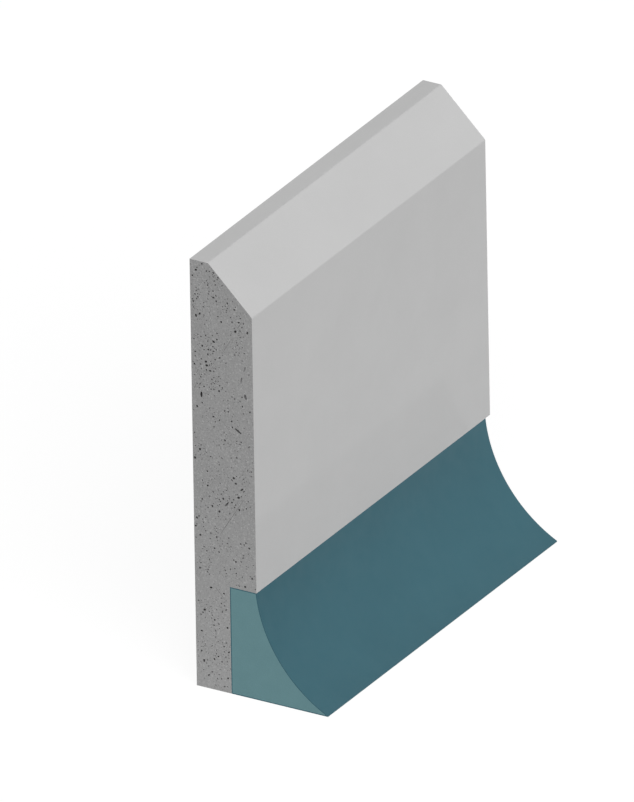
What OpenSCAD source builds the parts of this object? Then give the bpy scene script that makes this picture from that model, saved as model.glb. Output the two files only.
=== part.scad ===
// Concrete wall kerb with a coved foot.
// A precast kerb stone stands against a wall. Its top slopes down towards the room, and a rebate along
// its foot takes a resin cove, which sweeps out to the floor so that the corner can be washed clean.
// X runs along the kerb, the room is on the -Y side, the wall is on the +Y side and Z is up from the floor.
// The origin is on the floor, in the middle of the length and of the depth from the wall to the cove's toe.

/* [Kerb stone] */
// Length of the kerb stone
kerb_len = 390; // [100:1:1200]
// Height of the kerb stone
kerb_h = 400; // [250:1:600]
// Thickness of the kerb stone, from the wall to its face
kerb_t = 60; // [45:1:120]
// Width of the level strip along the top, beside the wall
top_flat = 18; // [8:1:40]
// Fall of the sloped top towards the room, in degrees
slope_angle = 45; // [20:1:60]
// Arris taken off the upper and the lower edge of the sloped top, measured along both faces that meet there
arris = 1; // [0.2:0.1:5]

/* [Rebate] */
// Height of the rebate along the foot
rebate_h = 100; // [60:1:140]
// Depth of the rebate behind the face
rebate_d = 26; // [12:1:40]

/* [Cove] */
// Reach of the cove's toe in front of the kerb's face
cove_reach = 68; // [30:1:110]
// Radius of the cove's hollow face
cove_r = 125; // [80:1:300]
// Thickness of the edge that the cove runs out to at its toe
toe_t = 1; // [0.5:0.1:5]
// Gap left at the far end, where the cove stops short of the kerb stone
cove_short = 7.5; // [0:0.5:50]

/* [Hidden] */

// Facets of the hollow face, which is a true arc
$fn = 256;

// Distance of the wall behind the origin
wall_y = (kerb_t + cove_reach) / 2;
// Thickness of the stem that is left behind the rebate
stem_t = kerb_t - rebate_d;
// Height at which the sloped top meets the face
face_top = kerb_h - (kerb_t - top_flat) * tan(slope_angle);
// Distance of the cove's toe from the wall
toe_out = kerb_t + cove_reach;

// Upper and lower end of the hollow curve, as [distance from the wall, height]
curve_top = [kerb_t, rebate_h];
curve_toe = [toe_out, toe_t];

function unit(v) = v / norm(v);

// Centre of the circle of radius r through p and q, on the left of the way from p to q
function arc_centre(p, q, r) =
    let (half = norm(q - p) / 2, along = unit(q - p))
    (p + q) / 2 + [-along.y, along.x] * sqrt(r * r - half * half);

// The two points that take the place of a corner when an arris is cut off it
function arris_cut(before, corner, after) =
    [for (side = [before, after]) corner + arris * unit(side - corner)];

// Carries a section along the kerb. The section's x is the distance from the wall and its y is the height.
// The near end is at -X, and the run starts the given distance short of the far end.
module along_kerb(short = 0) {
    translate([kerb_len / 2 - short, wall_y, 0])
        rotate([90, 0, -90])
            linear_extrude(kerb_len - short)
                children();
}

// Section of the stone: a slab with a sloped top and a rebated foot
module kerb_section() {
    back_foot = [0, 0];
    back_top = [0, kerb_h];
    slope_top = [top_flat, kerb_h];
    slope_foot = [kerb_t, face_top];
    face_foot = [kerb_t, rebate_h];
    polygon([
        back_foot,
        back_top,
        each arris_cut(back_top, slope_top, slope_foot),
        each arris_cut(slope_top, slope_foot, face_foot),
        face_foot,
        [stem_t, rebate_h],
        [stem_t, 0],
    ]);
}

// Section of the cove: it fills the rebate, flush with the face above, and its front is hollowed to the toe
module cove_section() {
    difference() {
        translate([stem_t, 0])
            square([toe_out - stem_t, rebate_h]);
        translate(arc_centre(curve_top, curve_toe, cove_r))
            circle(r = cove_r);
    }
}

module kerb_stone() {
    color([0.71, 0.71, 0.71])
        along_kerb()
            kerb_section();
}

module cove() {
    color([0.27, 0.42, 0.46])
        along_kerb(cove_short)
            cove_section();
}

kerb_stone();
cove();
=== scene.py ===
"""Dresses a concrete wall kerb: moulded faces, sawn ends with open pores, and a resin cove at its foot."""

import math
from typing import NamedTuple

import bpy
import numpy as np
from mathutils import Matrix, Vector
from mathutils.geometry import delaunay_2d_cdt


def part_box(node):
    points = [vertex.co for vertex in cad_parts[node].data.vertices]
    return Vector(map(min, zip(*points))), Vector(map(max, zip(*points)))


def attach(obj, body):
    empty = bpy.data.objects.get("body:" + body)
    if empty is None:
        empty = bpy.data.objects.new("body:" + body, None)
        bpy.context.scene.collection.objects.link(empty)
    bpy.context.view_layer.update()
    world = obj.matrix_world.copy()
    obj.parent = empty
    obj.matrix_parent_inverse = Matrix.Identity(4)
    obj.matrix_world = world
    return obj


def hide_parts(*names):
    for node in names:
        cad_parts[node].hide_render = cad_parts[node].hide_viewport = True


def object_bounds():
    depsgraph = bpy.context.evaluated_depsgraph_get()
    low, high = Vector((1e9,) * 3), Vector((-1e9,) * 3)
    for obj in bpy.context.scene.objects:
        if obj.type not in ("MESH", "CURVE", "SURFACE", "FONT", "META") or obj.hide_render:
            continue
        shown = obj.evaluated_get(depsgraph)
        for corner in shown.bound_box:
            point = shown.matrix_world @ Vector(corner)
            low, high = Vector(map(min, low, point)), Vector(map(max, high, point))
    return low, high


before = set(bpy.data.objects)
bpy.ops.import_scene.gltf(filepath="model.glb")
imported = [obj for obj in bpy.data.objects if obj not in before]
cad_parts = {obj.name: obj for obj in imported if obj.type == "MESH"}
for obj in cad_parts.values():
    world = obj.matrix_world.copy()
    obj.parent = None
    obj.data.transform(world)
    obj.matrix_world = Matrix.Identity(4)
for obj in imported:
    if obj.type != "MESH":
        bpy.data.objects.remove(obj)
cad_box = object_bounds()

# Sizes of the section, in metres
TOP_FLAT = 0.018  # level strip along the top, beside the wall
SLOPE_ANGLE = math.radians(45)  # fall of the sloped top
ARRIS = 0.001  # rounding of both edges of the sloped top, measured along both faces
COVE_RADIUS = 0.125  # hollow face of the cove
TOE = 0.001  # edge that the cove runs out to
SKIN = 0.0009  # dark skin round the cove's paler core
CORE_TOE = 0.0001  # edge that the core runs out to, inside the skin

# Places of the faces, from the solids
kerb_low, kerb_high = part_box("kerb_stone")
cove_low, cove_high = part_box("cove")
NEAR_X, FAR_X = kerb_low.x, kerb_high.x
FACE_Y, WALL_Y = kerb_low.y, kerb_high.y
TOP_Z = kerb_high.z
TOE_Y, SEAT_Y = cove_low.y, cove_high.y
REBATE_Z = cove_high.z
COVE_FAR_X = cove_high.x
FACE_TOP_Z = TOP_Z - (WALL_Y - FACE_Y - TOP_FLAT) * math.tan(SLOPE_ANGLE)

# Corners of the stone's section, as y and z
KERB_CORNERS = np.array([
    (WALL_Y, 0.0),
    (WALL_Y, TOP_Z),
    (WALL_Y - TOP_FLAT, TOP_Z),
    (FACE_Y, FACE_TOP_Z),
    (FACE_Y, REBATE_Z),
    (SEAT_Y, REBATE_Z),
    (SEAT_Y, 0.0),
])
EASED_CORNERS = (2, 3)  # upper and lower edge of the sloped top

# Fineness of the meshes
MESH_STEP = 0.010  # longest stretch between two points of a straight run
ARRIS_POINTS = 5
COVE_ROWS = 56  # points up the seat, and as many down the hollow
COVE_COLUMNS = 14  # steps along the top, and as many along the foot
PORE_SIDES = 10
PORE_RINGS = 2
SAME_POINT = 1e-9  # distance that counts as none
WHOLE_HULL = 0  # the kind of triangulation that fills the points' convex hull

# Pores of a sawn end
NEAR_SEED, FAR_SEED = 11, 23
PORE_TRIES = 1850
PORE_IN_FIELD = 0.9  # share of the pores that gather in porous fields
PORE_RADIUS = 0.00034  # middle of the pores' range of sizes
PORE_RANGE = 0.50  # spread of the sizes, as the logarithm of their ratio
PORE_LEAST = 0.00016
NEAR_PORE_MOST = 0.00075  # the near end's larger pores have places of their own
FAR_PORE_MOST = 0.0011
PORE_STRETCH = 0.5  # most that a pore is drawn out, as a share of its radius
PORE_DEPTH = (0.8, 1.6)  # least and most, as shares of the radius
PORE_DARKNESS = (0.45, 0.95)  # least and most painted shade inside a pore
PORE_GAP = 0.00015  # least land between two pores
# Ripples round a mouth: their number, and their height as a share of its size
LOBES = ((2, 0.12), (3, 0.05))
MOUTH_REACH = 1.2  # reach of a rippled mouth, as a share of its size, with a little to spare
FAR_FIELDS = 80
FIELD_SPREAD = (0.003, 0.009)  # least and most
PORE_SHADE_ATTRIBUTE = "pore_painted_shade"  # painted shade of each hollow's inside, which the pores' finish reads
MM = 0.001

# Porous fields of the near end, in millimetres: from the wall, height, spread
PORE_FIELDS = (
    (5, 356, 6), (4, 366, 5), (6, 345, 6), (12, 393, 7), (26, 387, 5), (18, 372, 7), (22, 362, 6),
    (35, 364, 6), (45, 347, 5), (47, 340, 6), (24, 330, 6), (12, 328, 6), (45, 325, 5), (12, 315, 7),
    (26, 312, 5), (19, 297, 7), (5, 300, 6), (6, 284, 5), (26, 287, 4), (14, 292, 8), (42, 273, 7),
    (21, 256, 7), (38, 258, 7), (42, 240, 7), (33, 237, 5), (5, 222, 6), (23, 212, 8), (51, 210, 7),
    (20, 190, 8), (25, 180, 7), (35, 176, 7), (48, 180, 6), (8, 157, 7), (24, 145, 6), (36, 132, 6),
    (53, 130, 6), (15, 128, 5), (7, 116, 6), (50, 113, 7), (36, 112, 6), (27, 88, 5), (8, 76, 5),
    (21, 65, 7), (20, 55, 8), (6, 41, 6), (28, 36, 6), (10, 26, 6), (24, 20, 7), (16, 6, 8),
)
# Dark pores of the near end, in millimetres: from the wall, height, radius
DARK_PORES = (
    (6, 391, 1.1), (12, 398, 0.8), (2.5, 385, 0.8), (23, 392, 0.8), (27.5, 388.5, 0.8),
    (22.7, 368.7, 1.0), (25.4, 366, 0.8), (36.3, 366.4, 0.9), (43, 362, 0.9), (3, 361, 0.9),
    (9, 350.5, 1.1), (5.4, 348, 1.2), (30, 347.6, 1.0), (47, 351, 0.9), (25.4, 330, 0.8),
    (11, 321, 0.9), (17, 318.7, 0.9), (4, 314, 0.8), (16.3, 314, 0.9), (28, 313.4, 0.8),
    (3, 302.3, 0.9), (18.3, 299, 1.0), (26.7, 282, 1.0), (5, 263, 1.0), (10, 267.4, 0.7),
    (20.7, 256.7, 0.9), (56.6, 269, 0.8), (38.6, 256.4, 0.8), (39.2, 250.9, 0.8), (31.6, 237, 0.9),
    (7, 223, 1.1), (2, 214, 1.2), (14, 204, 0.8), (39.7, 203.3, 1.1), (41.6, 198.6, 1.0),
    (14, 190.6, 0.9), (29, 181.7, 1.0), (18.3, 172.3, 1.0), (25, 168.7, 1.1), (37.4, 180, 0.8),
    (44.6, 174.6, 1.0), (3, 158, 1.0), (1.7, 150, 0.9), (6, 142.4, 1.0), (22, 144, 0.8),
    (19.7, 133, 0.8), (53.6, 140.6, 0.9), (40.4, 125, 0.9), (5, 111.4, 0.9), (56, 113, 0.9),
    (49, 103.6, 1.0), (9, 73, 1.2), (30, 77.4, 0.8), (18.6, 65.6, 0.8), (31, 61, 0.9),
    (5.6, 52.6, 0.9), (32, 38.3, 0.9), (5.2, 33.7, 0.9), (21.6, 32, 0.8), (17.7, 28.7, 0.9),
    (30.6, 13.6, 0.9),
)
DARK_PORE_STRETCH = 1.1  # half length of a dark pore, as a share of its radius
DARK_PORE_TURN = math.radians(137.5)  # turn from one dark pore to the next
# painted shade inside a dark pore
DARK_PORE_DARKNESS = 0.9
# Longer voids of the near end, in millimetres and degrees:
# from the wall, height, half length, half width, turn, painted shade inside
VOIDS = (
    (9.4, 275, 2.7, 1.1, 87, 1.0),
    (14.4, 306.8, 1.2, 1.1, 0, 0.95),
    (15, 303.4, 1.3, 1.1, 30, 0.95),
    (22.2, 327.3, 1.5, 0.9, -30, 1.0),
    (43.6, 341.7, 1.4, 1.0, 40, 1.0),
    (55.4, 343, 1.4, 0.8, 85, 0.9),
    (52.4, 282.3, 2.5, 1.2, -73, 0.6),
    (44.7, 248.6, 3.8, 1.0, -29, 0.8),
    (47.4, 194.2, 2.0, 0.8, 43, 0.85),
    (49.4, 193, 1.1, 0.5, 45, 0.8),
    (44, 186, 1.5, 0.9, 12, 1.0),
    (32.4, 177.2, 3.2, 0.8, 51, 0.7),
    (49, 204.4, 1.6, 0.45, 45, 0.6),
    (55.2, 236, 1.3, 0.5, 45, 0.7),
    (15.6, 95.3, 1.4, 0.8, 20, 1.0),
    (12, 12.4, 1.3, 0.7, 50, 0.75),
    (7.6, 25, 1.5, 0.9, 80, 0.85),
    (52, 308, 3.0, 0.7, 72, 0.25),
    (48.6, 297, 3.3, 0.8, 78, 0.3),
)
DEPTH_OF_WIDTH = 1.2  # depth of a void or dark pore, as a share of its half width
# Hairlines of the near end, in millimetres:
# from the wall and height at one end, from the wall and height at the other, painted shade inside
HAIRLINES = (
    (50.5, 352.5, 45.5, 344.5, 0.35),
    (43, 339, 29, 316, 0.1),
    (27.5, 257.5, 41, 240, 0.15),
    (50, 186.5, 24.5, 146, 0.42),
    (19.5, 97, 30.5, 85, 0.35),
)
HAIRLINE_WIDTH = 0.00045

# Finishes
USUAL_NOISE = (0.3, 0.7)  # range that fractal noise seldom leaves
PAINTED_LIGHT_HEIGHT = 0.18  # height up to which a sawn end is painted a little paler, as painted light from below
MIX_SHARE, MIX_A, MIX_B = 0, 6, 7  # a Mix node's inputs for colours
MIX_RESULT = 2

# The picture and its camera
PICTURE = (634, 802)
PIXELS_PER_METRE = 1186.9
CAMERA_AZIMUTH = math.radians(-59.27)
CAMERA_ELEVATION = math.radians(26.03)
CAMERA_ROLL = math.radians(-0.99)
CAMERA_DISTANCE = 3.0
AIM_RIGHT, AIM_UP = -0.0493, -0.0021  # from the middle of the part to the middle of the picture

# Stage and light
FLOOR_SIZE = 12.0
FLOOR_BOUNCE = 0.5  # share of the light that the floor sends back onto the part
FLOOR_WHITE = 1.02  # the floor's white to the eye, where no shadow falls
FLOOR_SHADED = 0.12  # share of that white that the part's shadow can darken
SKY_LIGHT = 0.36
# Lamps by name: azimuth, elevation and softness in degrees, then strength
LAMPS = {
    "key": (-42.5, 39, 50, 0.9),
    "back_fill": (140, -2, 10, 0.28),
    "low_glow": (45, -60, 1, 0.08),  # from under the floor, so that the cove shades the foot of the face
}


def even(share):
    """Linear grey that sends back a share of the light."""
    return (share, share, share, 1.0)


def srgb(*levels):
    """Linear colour of a colour given as 0 to 255 levels."""
    c = np.array(levels, float) / 255
    linear = np.where(c <= 0.04045, c / 12.92, ((c + 0.055) / 1.055) ** 2.4)
    return (*linear.tolist(), 1.0)


def grey(level):
    """Linear colour of an even grey given as a 0 to 255 level."""
    return srgb(level, level, level)


# Outlines and surfaces


def unit(v):
    """A vector of length 1 along v."""
    return v / np.linalg.norm(v)


def straight(a, b):
    """Points from a up to but without b, evenly spaced, no more than MESH_STEP apart."""
    count = max(1, math.ceil(np.linalg.norm(b - a) / MESH_STEP))
    t = np.arange(count)[:, None] / count
    return a + (b - a) * t


def rounded(before, corner, after):
    """A corner eased by a parabola that touches both of its sides ARRIS away from it."""
    a = corner + ARRIS * unit(before - corner)
    b = corner + ARRIS * unit(after - corner)
    t = np.linspace(0, 1, ARRIS_POINTS)[:, None]
    return (1 - t) ** 2 * a + 2 * t * (1 - t) * corner + t**2 * b


def kerb_outline():
    """The stone's section as a closed loop of (y, z) points, with straight runs between its corners.
    Also tells for each edge of the loop whether it is on an arris."""
    bends = []
    for i, corner in enumerate(KERB_CORNERS):
        before, after = KERB_CORNERS[i - 1], KERB_CORNERS[(i + 1) % len(KERB_CORNERS)]
        bends.append(rounded(before, corner, after) if i in EASED_CORNERS else corner[None])
    points, on_arris = [], []
    for i, bend in enumerate(bends):
        run = straight(bend[-1], bends[(i + 1) % len(bends)][0])
        points += [bend[:-1], run]
        on_arris += [True] * (len(bend) - 1) + [False] * len(run)
    return np.vstack(points), np.array(on_arris)


def stations_to(far_x):
    """Places along X from the near end, evenly spaced, no more than MESH_STEP apart."""
    return np.linspace(NEAR_X, far_x, math.ceil((far_x - NEAR_X) / MESH_STEP) + 1)


def carried(loop, stations):
    """A closed section carried along X: point (i, j) is loop point i at station j.
    Returns the points and the quads between them, which face away from the inside of the section."""
    n, m = len(loop), len(stations)
    points = np.empty((n, m, 3))
    points[:, :, 0] = stations
    points[:, :, 1:] = loop[:, None]
    i, j = np.meshgrid(np.arange(n), np.arange(m - 1), indexing="ij")
    after = (i + 1) % n
    quads = np.stack([i * m + j, after * m + j, after * m + j + 1, i * m + j + 1], -1)
    return points, quads.reshape(-1, 4)


def ring_edges(ids):
    """Edges from each point of a closed ring to the next, for one ring or for rows of rings."""
    return np.stack([ids, np.roll(ids, -1, -1)], -1).reshape(-1, 2)


def triangulated(points, edges):
    """Triangles over the hull of flat points, with the given edges among theirs, by constrained Delaunay
    triangulation. They are numbered counter-clockwise."""
    found = delaunay_2d_cdt(points.tolist(), edges.tolist(), [], WHOLE_HULL, SAME_POINT, False)
    return np.array(found[2])


def facing(faces, side):
    """Faces that point to +X as they are, or turned round for the side at -X."""
    return faces if side > 0 else faces[:, ::-1]


class Shell:
    """Points and faces of a piece under construction."""

    def __init__(self):
        self.points = np.empty((0, 3))
        self.faces = []
        self.materials = []
        self.material_of = []
        self.smooth = []

    def add_points(self, points):
        """Adds points, and returns the number of the first of them."""
        first = len(self.points)
        self.points = np.vstack([self.points, points.reshape(-1, 3)])
        return first

    def add_faces(self, faces, material, smooth=False):
        """Adds faces of one material: all of them smooth or flat, or each as an array says."""
        if material not in self.materials:
            self.materials.append(material)
        self.faces += faces.tolist()
        self.material_of.append(np.full(len(faces), self.materials.index(material), np.int32))
        self.smooth.append(np.broadcast_to(smooth, len(faces)))

    def piece(self, name):
        """The mesh object, at the origin, with every edge of a flat face sharp."""
        mesh = bpy.data.meshes.new(name)
        mesh.from_pydata(self.points.tolist(), [], self.faces)
        for material in self.materials:
            mesh.materials.append(material)
        smooth = np.concatenate(self.smooth)
        mesh.polygons.foreach_set("material_index", np.concatenate(self.material_of))
        mesh.polygons.foreach_set("use_smooth", smooth)
        sides = np.empty(len(mesh.polygons), np.int32)
        mesh.polygons.foreach_get("loop_total", sides)
        edge = np.empty(len(mesh.loops), np.int32)
        mesh.loops.foreach_get("edge_index", edge)
        sharp = np.zeros(len(mesh.edges), bool)
        sharp[edge[np.repeat(~smooth, sides)]] = True
        mesh.edges.foreach_set("use_edge_sharp", sharp)
        mesh.update()
        piece = bpy.data.objects.new(name, mesh)
        bpy.context.scene.collection.objects.link(piece)
        return piece


def write_attribute(piece, name, values):
    """Gives each point of a piece a number that its material can read."""
    attribute = piece.data.attributes.new(name, "FLOAT", "POINT")
    attribute.data.foreach_set("value", values.astype(np.float32))


# Pores of a sawn end


class Hollows(NamedTuple):
    """Hollows of a sawn end: each array has a row for every hollow."""

    middle: np.ndarray  # y and z
    half_length: np.ndarray
    half_width: np.ndarray
    turn: np.ndarray  # of the length, from Y towards Z
    depth: np.ndarray
    # painted shade inside the hollow, from 0 to 1
    darkness: np.ndarray


def joined(*groups):
    """Several groups of hollows as one."""
    return Hollows(*(np.concatenate(arrays) for arrays in zip(*groups)))


def on_end(out, height):
    """Points (y, z) of an end, from distances to the wall and heights in millimetres."""
    return np.stack([WALL_Y - out * MM, height * MM], -1)


def placed_voids():
    """Longer voids of the near end. Their turns are seen from outside, where Y runs to the left."""
    out, height, half_length, half_width, turn, darkness = np.array(VOIDS).T
    half_length, half_width = half_length * MM, half_width * MM
    turn = np.radians(180 - turn)
    depth = half_width * DEPTH_OF_WIDTH
    return Hollows(on_end(out, height), half_length, half_width, turn, depth, darkness)


def placed_pores():
    """Dark pores of the near end: a little longer than wide, each turned on from the one before."""
    out, height, radius = np.array(DARK_PORES).T
    half_length, half_width = radius * MM * DARK_PORE_STRETCH, radius * MM / DARK_PORE_STRETCH
    turn = np.arange(len(radius)) * DARK_PORE_TURN
    darkness = np.full(len(radius), DARK_PORE_DARKNESS)
    depth = half_width * DEPTH_OF_WIDTH
    return Hollows(on_end(out, height), half_length, half_width, turn, depth, darkness)


def placed_hairlines():
    """Hairlines of the near end: very long hollows, as deep as half their width."""
    out_a, height_a, out_b, height_b, darkness = np.array(HAIRLINES).T
    a, b = on_end(out_a, height_a), on_end(out_b, height_b)
    half = (b - a) / 2
    half_width = np.full(len(half), HAIRLINE_WIDTH / 2)
    turn = np.arctan2(half[:, 1], half[:, 0])
    return Hollows((a + b) / 2, np.linalg.norm(half, axis=1), half_width, turn, half_width, darkness)


def placed_fields():
    """Middles and spreads of the near end's porous fields."""
    out, height, spread = np.array(PORE_FIELDS).T
    return on_end(out, height), spread * MM


def random_fields(rng):
    """Middles and spreads of the far end's porous fields."""
    middle = rng.uniform(KERB_CORNERS.min(0), KERB_CORNERS.max(0), (FAR_FIELDS, 2))
    return middle, rng.uniform(*FIELD_SPREAD, FAR_FIELDS)


def room_to_edge(points):
    """Distance from (y, z) points to the nearest side of the stone's section, negative outside it.
    A point is inside where a line from it along +Y crosses an odd number of sides."""
    a = KERB_CORNERS
    b = np.roll(a, -1, 0)
    along = b - a
    off = points[:, None] - a
    t = np.clip((off * along).sum(-1) / (along * along).sum(-1), 0, 1)
    nearest = np.linalg.norm(off - t[..., None] * along, axis=-1).min(1)
    y, z = points[:, :1], points[:, 1:]
    crosses = (a[:, 1] > z) != (b[:, 1] > z)
    rise = np.where(along[:, 1] == 0, 1, along[:, 1])
    crossing = a[:, 0] + (z - a[:, 1]) * along[:, 0] / rise
    inside = (crosses & (crossing > y)).sum(1) % 2 == 1
    return np.where(inside, nearest, -nearest)


def room_to_marks(points, marks):
    """Distance from (y, z) points to the nearest of some hollows, taken as lines with round ends."""
    along = np.stack([np.cos(marks.turn), np.sin(marks.turn)], -1)
    off = points[:, None] - marks.middle
    straight_part = np.maximum(marks.half_length - marks.half_width, 0)
    on_line = np.clip((off * along).sum(-1), -straight_part, straight_part)
    room = np.linalg.norm(off - on_line[..., None] * along, axis=-1) - marks.half_width * MOUTH_REACH
    return room.min(1)


def scatter_pores(rng, fields, most, marks=None):
    """Pores that a saw cut opens. Sizes follow a log-normal law, and most of the pores gather in fields.
    Of two that would touch only the larger stays, and none touches the outline or a mark."""
    field_middle, field_spread = fields
    middle = rng.uniform(KERB_CORNERS.min(0), KERB_CORNERS.max(0), (PORE_TRIES, 2))
    own = rng.integers(0, len(field_spread), PORE_TRIES)
    gathered = field_middle[own] + field_spread[own, None] * rng.normal(size=(PORE_TRIES, 2))
    middle = np.where(rng.random((PORE_TRIES, 1)) < PORE_IN_FIELD, gathered, middle)
    radius = np.clip(PORE_RADIUS * np.exp(PORE_RANGE * rng.normal(size=PORE_TRIES)), PORE_LEAST, most)
    radius = -np.sort(-radius)
    stretch = 1 + PORE_STRETCH * rng.random(PORE_TRIES) ** 2
    turn = rng.uniform(0, np.pi, PORE_TRIES)
    depth = radius * rng.uniform(*PORE_DEPTH, PORE_TRIES)
    darkness = rng.uniform(*PORE_DARKNESS, PORE_TRIES)
    reach = radius * stretch * MOUTH_REACH
    apart = np.linalg.norm(middle[:, None] - middle[None], axis=-1)
    crowded = apart < reach[:, None] + reach[None] + PORE_GAP
    kept = ~(crowded & np.tri(PORE_TRIES, k=-1, dtype=bool)).any(1)
    kept &= room_to_edge(middle) > reach + PORE_GAP
    if marks is not None:
        kept &= room_to_marks(middle, marks) > reach + PORE_GAP
    pores = Hollows(middle, radius * stretch, radius / stretch, turn, depth, darkness)
    return Hollows(*(array[kept] for array in pores))


def near_end_hollows(rng):
    """Hollows of the near end: the marks with places of their own, and small pores between them."""
    marks = joined(placed_voids(), placed_pores(), placed_hairlines())
    return joined(marks, scatter_pores(rng, placed_fields(), NEAR_PORE_MOST, marks))


def far_end_hollows(rng):
    """Hollows of the far end, all of them at random."""
    return scatter_pores(rng, random_fields(rng), FAR_PORE_MOST)


def bowls(x, side, hollows, rng):
    """Bowls of the hollows on the end at x, which is on the side -1 or 1 of the stone. Each bowl is a polar
    grid of rings that close on a pole: a ring is the mouth drawn in by the cosine of an angle and sunk by
    its sine, so that the wall starts upright and the floor is round. The mouth is an ellipse with ripples,
    which fade on a long mouth. Returns the rings and the poles."""
    half_length, half_width = hollows.half_length[:, None], hollows.half_width[:, None]
    turn, depth = hollows.turn[:, None], hollows.depth[:, None]
    angle = np.linspace(0, 2 * np.pi, PORE_SIDES, endpoint=False)
    phases = rng.uniform(0, 2 * np.pi, (len(LOBES), len(turn), 1))
    ripple = sum(high * np.cos(lobes * angle + phase) for (lobes, high), phase in zip(LOBES, phases))
    reach = 1 + half_width / half_length * ripple
    along = half_length * reach * np.cos(angle)
    across = half_width * reach * np.sin(angle)
    mouth = np.stack([
        along * np.cos(turn) - across * np.sin(turn),
        along * np.sin(turn) + across * np.cos(turn),
    ], -1)
    sink = np.linspace(0, np.pi / 2, PORE_RINGS + 1)[:-1]
    rings = np.empty((len(turn), PORE_RINGS, PORE_SIDES, 3))
    rings[..., 0] = x - side * (depth * np.sin(sink))[:, :, None]
    rings[..., 1:] = hollows.middle[:, None, None] + mouth[:, None] * np.cos(sink)[:, None, None]
    poles = np.column_stack([x - side * depth, hollows.middle])
    return rings, poles


def bowl_faces(ring_ids, pole_ids):
    """Quads between the rings of each bowl and triangles from its last ring to its pole, facing +X."""
    after = np.roll(ring_ids, -1, -1)
    walls = np.stack([after[:, :-1], after[:, 1:], ring_ids[:, 1:], ring_ids[:, :-1]], -1)
    poles = np.broadcast_to(pole_ids[:, None], (len(pole_ids), PORE_SIDES))
    floors = np.stack([after[:, -1], poles, ring_ids[:, -1]], -1)
    return walls.reshape(-1, 4), floors.reshape(-1, 3)


def land_between(outline, mouths):
    """Triangles of the flat land between the outline and the hollows' mouths, facing +X.
    Corners are numbered along the outline first and then mouth by mouth."""
    count, sides = mouths.shape[:2]
    points = np.vstack([outline, mouths.reshape(-1, 2)])
    rim = np.arange(len(outline))
    mouth_ids = len(outline) + np.arange(count * sides).reshape(count, sides)
    triangles = triangulated(points, np.vstack([ring_edges(rim), ring_edges(mouth_ids)]))
    owner = np.concatenate([np.full(len(outline), -1), np.repeat(np.arange(count), sides)])[triangles]
    in_mouth = (owner[:, 0] >= 0) & (owner == owner[:, :1]).all(1)
    in_stone = room_to_edge(points[triangles].mean(1)) > SAME_POINT
    return triangles[~in_mouth & in_stone]


def build_kerb(moulded, sawn, pore):
    """The stone: its section carried along X, closed at both ends by land with hollows sunk into it."""
    outline, on_arris = kerb_outline()
    stations = stations_to(FAR_X)
    sides, quads = carried(outline, stations)
    shell = Shell()
    shell.add_points(sides)
    shell.add_faces(quads, moulded, np.repeat(on_arris, len(stations) - 1))
    # painted shade of every point: none on the sides and land, each hollow's own in its bowl
    darkness = [np.zeros(len(shell.points))]
    for x, side, station, hollows_of_end, seed in (
        (NEAR_X, -1, 0, near_end_hollows, NEAR_SEED),
        (FAR_X, 1, len(stations) - 1, far_end_hollows, FAR_SEED),
    ):
        rng = np.random.default_rng(seed)
        hollows = hollows_of_end(rng)
        rings, poles = bowls(x, side, hollows, rng)
        ring_ids = shell.add_points(rings) + np.arange(rings[..., 0].size).reshape(rings.shape[:-1])
        pole_ids = shell.add_points(poles) + np.arange(len(poles))
        rim_ids = np.arange(len(outline)) * len(stations) + station
        land_ids = np.concatenate([rim_ids, ring_ids[:, 0].ravel()])
        land = land_ids[land_between(outline, rings[:, 0, :, 1:])]
        walls, floors = bowl_faces(ring_ids, pole_ids)
        shell.add_faces(facing(land, side), sawn)
        shell.add_faces(facing(walls, side), pore, smooth=True)
        shell.add_faces(facing(floors, side), pore, smooth=True)
        darkness += [np.repeat(hollows.darkness, PORE_RINGS * PORE_SIDES), hollows.darkness]
    piece = shell.piece("kerb_casting")
    write_attribute(piece, PORE_SHADE_ATTRIBUTE, np.concatenate(darkness))
    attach(piece, "root")
    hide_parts("kerb_stone")


# The cove


def hollow_centre():
    """Centre of the hollow face: COVE_RADIUS from its top edge and from its toe, on the room's side."""
    top, toe = np.array([FACE_Y, REBATE_Z]), np.array([TOE_Y, TOE])
    half = (top - toe) / 2
    across = unit(np.array([-half[1], half[0]]))
    return (top + toe) / 2 + across * math.sqrt(COVE_RADIUS**2 - half @ half)


def cove_loop(inset, toe):
    """The cove's section, drawn in by an inset and with a toe of the given height, as a closed loop: the
    seat, the top, the hollow, the toe and the foot. The hollow is an arc about its centre, and the inset
    adds to its radius."""
    centre, radius = hollow_centre(), COVE_RADIUS + inset
    seat, top, foot = SEAT_Y - inset, REBATE_Z - inset, inset
    start = math.asin((top - centre[1]) / radius)
    end = math.asin((foot + toe - centre[1]) / radius)
    angle = np.linspace(start, end, COVE_ROWS)
    hollow = centre + radius * np.column_stack([np.cos(angle), np.sin(angle)])
    back = np.column_stack([np.full(COVE_ROWS, seat), np.append(hollow[:0:-1, 1], top)])
    back[0, 1] = foot
    t = np.arange(1, COVE_COLUMNS)[:, None] / COVE_COLUMNS
    lid = back[-1] + (hollow[0] - back[-1]) * t
    tip = np.array([hollow[-1, 0], foot])
    bed = tip + (back[0] - tip) * t
    return np.vstack([back, lid, hollow, tip[None], bed])


def core_end(inner):
    """Triangles of the core's flat end, facing +X: those of the loop's hull that are outside the hollow."""
    triangles = triangulated(inner, ring_edges(np.arange(len(inner))))
    from_centre = np.linalg.norm(inner[triangles].mean(1) - hollow_centre(), axis=1)
    return triangles[from_centre > COVE_RADIUS + SKIN]


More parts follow.
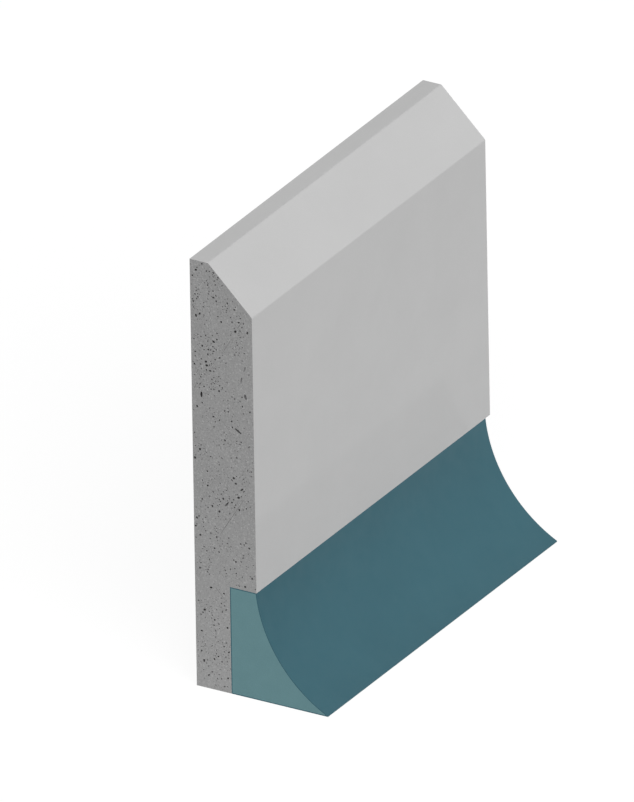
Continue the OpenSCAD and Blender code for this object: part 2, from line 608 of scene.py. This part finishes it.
def build_cove(skin, core):
    """The cove: its section carried along X, with ends where a ring of skin closes on the paler core."""
    outer, inner = cove_loop(0.0, TOE), cove_loop(SKIN, CORE_TOE)
    stations = stations_to(COVE_FAR_X)
    sides, quads = carried(outer, stations)
    loop = np.arange(len(outer))
    hollow_start = COVE_ROWS + COVE_COLUMNS - 1
    on_hollow = (loop >= hollow_start) & (loop < hollow_start + COVE_ROWS - 1)
    shell = Shell()
    shell.add_points(sides)
    shell.add_faces(quads, skin, np.repeat(on_hollow, len(stations) - 1))
    fill = core_end(inner)
    for x, side, station in ((NEAR_X, -1, 0), (COVE_FAR_X, 1, len(stations) - 1)):
        rim = loop * len(stations) + station
        first = shell.add_points(np.column_stack([np.full(len(inner), x), inner]))
        ring = np.stack([rim, np.roll(rim, -1), first + np.roll(loop, -1), first + loop], -1)
        shell.add_faces(facing(ring, side), skin)
        shell.add_faces(facing(first + fill, side), core)
    piece = shell.piece("cove_moulding")
    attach(piece, "root")
    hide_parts("cove")


# Finishes


class Nodes:
    """Adds nodes to a tree by kind, with inputs that are values or other nodes' outputs."""

    def __init__(self, tree):
        self.tree = tree

    def give(self, node, inputs):
        """Sets or links each of a node's inputs."""
        for socket, value in inputs.items():
            if isinstance(value, bpy.types.NodeSocket):
                self.tree.links.new(value, node.inputs[socket])
            else:
                node.inputs[socket].default_value = value

    def add(self, kind, inputs, **settings):
        """Adds a node, sets its options and gives it its inputs."""
        node = self.tree.nodes.new("ShaderNode" + kind)
        for option, value in settings.items():
            setattr(node, option, value)
        self.give(node, inputs)
        return node

    def seen_directly(self):
        """1 for rays from the camera, straight, mirrored or through glass, and 0 for light on the part."""
        path = self.add("LightPath", {})
        share = path.outputs["Is Camera Ray"]
        for ray in ("Is Glossy Ray", "Is Transmission Ray"):
            share = self.add("Math", {0: share, 1: path.outputs[ray]}, operation="MAXIMUM").outputs[0]
        return share


class Finish(Nodes):
    """A material under construction, with patterns on the part's own coordinates."""

    def __init__(self, name):
        self.material = bpy.data.materials.new(name)
        self.material.use_nodes = True
        super().__init__(self.material.node_tree)
        self.place = self.add("TexCoord", {}).outputs["Object"]

    def noise(self, per_metre, detail, roughness=0.5):
        """Fractal noise with so many features to the metre."""
        inputs = {"Vector": self.place, "Scale": per_metre, "Detail": detail, "Roughness": roughness}
        return self.add("TexNoise", inputs).outputs["Fac"]

    def cells(self, per_metre, output):
        """Cell pattern with so many cells to the metre."""
        return self.add("TexVoronoi", {"Vector": self.place, "Scale": per_metre}).outputs[output]

    def stretch(self, value, old, new):
        """A value whose old range, low to high, is laid over a new one, and held at its ends."""
        (low, high), (new_low, new_high) = old, new
        inputs = {"Value": value, "From Min": low, "From Max": high, "To Min": new_low, "To Max": new_high}
        return self.add("MapRange", inputs).outputs["Result"]

    def mottle(self, per_metre, detail, roughness=0.5, over=(0, 1)):
        """Fractal noise laid over a range."""
        return self.stretch(self.noise(per_metre, detail, roughness), USUAL_NOISE, over)

    def blend(self, share, a, b):
        """Colour between a, where the share is 0, and b, where it is 1."""
        node = self.add("Mix", {}, data_type="RGBA")
        self.give(node, {MIX_SHARE: share, MIX_A: a, MIX_B: b})
        return node.outputs[MIX_RESULT]

    def relief(self, height, depth):
        """Bump of so many metres from a height of 0 to 1."""
        return self.add("Bump", {"Height": height, "Distance": depth, "Strength": 1.0}).outputs["Normal"]

    def finish(self, **inputs):
        """Gives the shader its inputs, and returns the material."""
        shader = self.tree.nodes["Principled BSDF"]
        self.give(shader, {name.replace("_", " "): value for name, value in inputs.items()})
        return self.material


def moulded_concrete():
    """Smooth concrete from the mould: pale, nearly even, with faint clouds and a fine grain."""
    pale, paler, dark_grain = grey(184), grey(187), grey(168)
    f = Finish("moulded_concrete")
    grain = f.mottle(per_metre=1100, detail=2)
    clouds = f.mottle(per_metre=14, detail=4)
    colour = f.blend(clouds, pale, paler)
    colour = f.blend(f.stretch(grain, (0, 1), (0, 0.10)), colour, dark_grain)
    return f.finish(
        Base_Color=colour,
        Roughness=f.mottle(per_metre=60, detail=4, over=(0.62, 0.74)),
        Specular_IOR_Level=0.3,
        Normal=f.relief(grain, depth=0.00005),
    )


def sawn_concrete():
    """Concrete as the saw leaves it: darker, with sand and stones just told apart, tiny pinholes painted
    dark as their shade, and painted light that makes it paler towards the foot.
    """
    stone, pale_stone, cloud = grey(152), grey(156), grey(145)
    dark_sand, light_sand_and_painted_light, painted_pinhole_shade = grey(123), grey(182), grey(70)
    f = Finish("sawn_concrete")
    stones = f.cells(per_metre=170, output="Color")
    tone_of_stone = f.add("SeparateColor", {"Color": stones}).outputs["Red"]
    colour = f.blend(tone_of_stone, stone, pale_stone)
    clouds = f.mottle(per_metre=30, detail=3, over=(0, 0.25))
    colour = f.blend(clouds, colour, cloud)
    sand = f.mottle(per_metre=640, detail=2, roughness=0.6)
    colour = f.blend(f.stretch(sand, (0, 1), (0.5, 0)), colour, dark_sand)
    light_grains = f.stretch(f.noise(per_metre=700, detail=1), (0.6, 0.72), (0, 0.55))
    colour = f.blend(light_grains, colour, light_sand_and_painted_light)
    # painted light: the sawn end is blended paler towards its foot, as if lit from below
    height = f.add("SeparateXYZ", {"Vector": f.place}).outputs["Z"]
    colour = f.blend(f.stretch(height, (0, PAINTED_LIGHT_HEIGHT), (0.16, 0)), colour, light_sand_and_painted_light)
    # painted shade: tiny pinholes, in some places, painted dark as the shade inside them
    pinholes = f.stretch(f.cells(per_metre=620, output="Distance"), (0.12, 0.22), (1, 0))
    in_places = f.stretch(f.noise(per_metre=140, detail=2), (0.46, 0.6), (0, 0.8))
    some_pinholes = f.add("Math", {0: pinholes, 1: in_places}, operation="MULTIPLY").outputs[0]
    colour = f.blend(some_pinholes, colour, painted_pinhole_shade)
    return f.finish(
        Base_Color=colour,
        Roughness=0.86,
        Specular_IOR_Level=0.25,
        Normal=f.relief(sand, depth=0.00009),
    )


def open_pore():
    """The inside of a pore, painted dark as its shade: nearly black where that painted shade is strongest,
    greyer where it is not, with a little sand.
    """
    deep, sandy, shallow = grey(36), grey(58), grey(140)
    f = Finish("open_pore")
    darkness = f.add("Attribute", {}, attribute_name=PORE_SHADE_ATTRIBUTE).outputs["Fac"]
    painted_pore_shade = f.blend(f.mottle(per_metre=1500, detail=2), deep, sandy)
    return f.finish(
        Base_Color=f.blend(darkness, shallow, painted_pore_shade),
        Roughness=0.9,
        Specular_IOR_Level=0.2,
    )


def cove_skin():
    """The cove's closed skin: deep teal resin with a soft sheen and a faint ripple."""
    deep_teal, teal = srgb(52, 90, 100.5), srgb(54.5, 93, 103.5)
    f = Finish("cove_skin")
    return f.finish(
        Base_Color=f.blend(f.mottle(per_metre=18, detail=4), deep_teal, teal),
        Roughness=f.mottle(per_metre=90, detail=3, over=(0.46, 0.56)),
        Specular_IOR_Level=0.18,
        Normal=f.relief(f.noise(per_metre=320, detail=2), depth=0.00003),
    )


def cove_core():
    """The cove's cut end: paler teal resin mortar with fine filler in it."""
    mortar, pale_mortar, dark_filler = srgb(97, 133, 138), srgb(100, 136, 141), srgb(88, 122, 128)
    f = Finish("cove_core")
    filler = f.mottle(per_metre=1300, detail=3)
    clouds = f.mottle(per_metre=70, detail=3)
    colour = f.blend(clouds, mortar, pale_mortar)
    colour = f.blend(f.stretch(filler, (0, 1), (0.16, 0)), colour, dark_filler)
    return f.finish(
        Base_Color=colour,
        Roughness=0.8,
        Specular_IOR_Level=0.25,
        Normal=f.relief(filler, depth=0.00006),
    )


# Stage, light and camera


def direction(azimuth, elevation):
    """Unit vector from the part towards a camera or lamp at that azimuth and elevation."""
    flat = math.cos(elevation)
    return Vector((math.sin(azimuth) * flat, -math.cos(azimuth) * flat, math.sin(elevation)))


def lay_floor():
    """A plain white floor: most of its white is even to the eye, and the rest shows a soft shadow."""
    half = FLOOR_SIZE / 2
    corners = [(-half, -half, 0), (half, -half, 0), (half, half, 0), (-half, half, 0)]
    mesh = bpy.data.meshes.new("studio_floor")
    mesh.from_pydata(corners, [], [(0, 1, 2, 3)])
    material = bpy.data.materials.new("studio_floor")
    material.use_nodes = True
    material.node_tree.nodes.clear()
    nodes = Nodes(material.node_tree)
    bounce = nodes.add("BsdfDiffuse", {"Color": even(FLOOR_BOUNCE)}).outputs[0]
    shaded = nodes.add("BsdfDiffuse", {"Color": even(FLOOR_SHADED)}).outputs[0]
    white = nodes.add("Emission", {"Strength": FLOOR_WHITE - FLOOR_SHADED}).outputs[0]
    seen = nodes.add("AddShader", {0: shaded, 1: white}).outputs[0]
    surface = nodes.add("MixShader", {0: nodes.seen_directly(), 1: bounce, 2: seen}).outputs[0]
    nodes.add("OutputMaterial", {"Surface": surface})
    mesh.materials.append(material)
    floor = bpy.data.objects.new("studio_floor", mesh)
    floor.visible_shadow = False
    bpy.context.scene.collection.objects.link(floor)


def light_stage():
    """Even sky light all round, white to the eye, and the lamps, each as far off as the sun."""
    world = bpy.data.worlds.new("studio")
    bpy.context.scene.world = world
    world.use_nodes = True
    nodes = Nodes(world.node_tree)
    sky_inputs = {"Value": nodes.seen_directly(), "To Min": SKY_LIGHT, "To Max": 1.0}
    sky = nodes.add("MapRange", sky_inputs).outputs["Result"]
    nodes.give(world.node_tree.nodes["Background"], {"Color": even(1.0), "Strength": sky})
    for name, (azimuth, elevation, softness, strength) in LAMPS.items():
        lamp = bpy.data.lights.new(name, "SUN")
        lamp.energy = strength * math.pi
        lamp.angle = math.radians(softness)
        holder = bpy.data.objects.new(name, lamp)
        towards = direction(math.radians(azimuth), math.radians(elevation))
        holder.rotation_mode = "QUATERNION"
        holder.rotation_quaternion = towards.to_track_quat("Z", "Y")
        bpy.context.scene.collection.objects.link(holder)


def set_camera():
    """A camera without perspective, looking down on the near end and the face, and a little rolled."""
    back = direction(CAMERA_AZIMUTH, CAMERA_ELEVATION)
    level = Vector((math.cos(CAMERA_AZIMUTH), math.sin(CAMERA_AZIMUTH), 0))
    upright = back.cross(level)
    right = level * math.cos(CAMERA_ROLL) + upright * math.sin(CAMERA_ROLL)
    up = back.cross(right)
    middle = (cad_box[0] + cad_box[1]) / 2
    place = middle + right * AIM_RIGHT + up * AIM_UP + back * CAMERA_DISTANCE
    lens = bpy.data.cameras.new("camera")
    lens.type = "ORTHO"
    lens.ortho_scale = max(PICTURE) / PIXELS_PER_METRE
    camera = bpy.data.objects.new("camera", lens)
    turn = Matrix((right, up, back)).transposed().to_4x4()
    camera.matrix_world = Matrix.Translation(place) @ turn
    bpy.context.scene.collection.objects.link(camera)
    bpy.context.scene.camera = camera


set_camera()
lay_floor()
light_stage()
build_kerb(moulded_concrete(), sawn_concrete(), open_pore())
build_cove(cove_skin(), cove_core())
bpy.context.scene.view_settings.view_transform = "Standard"
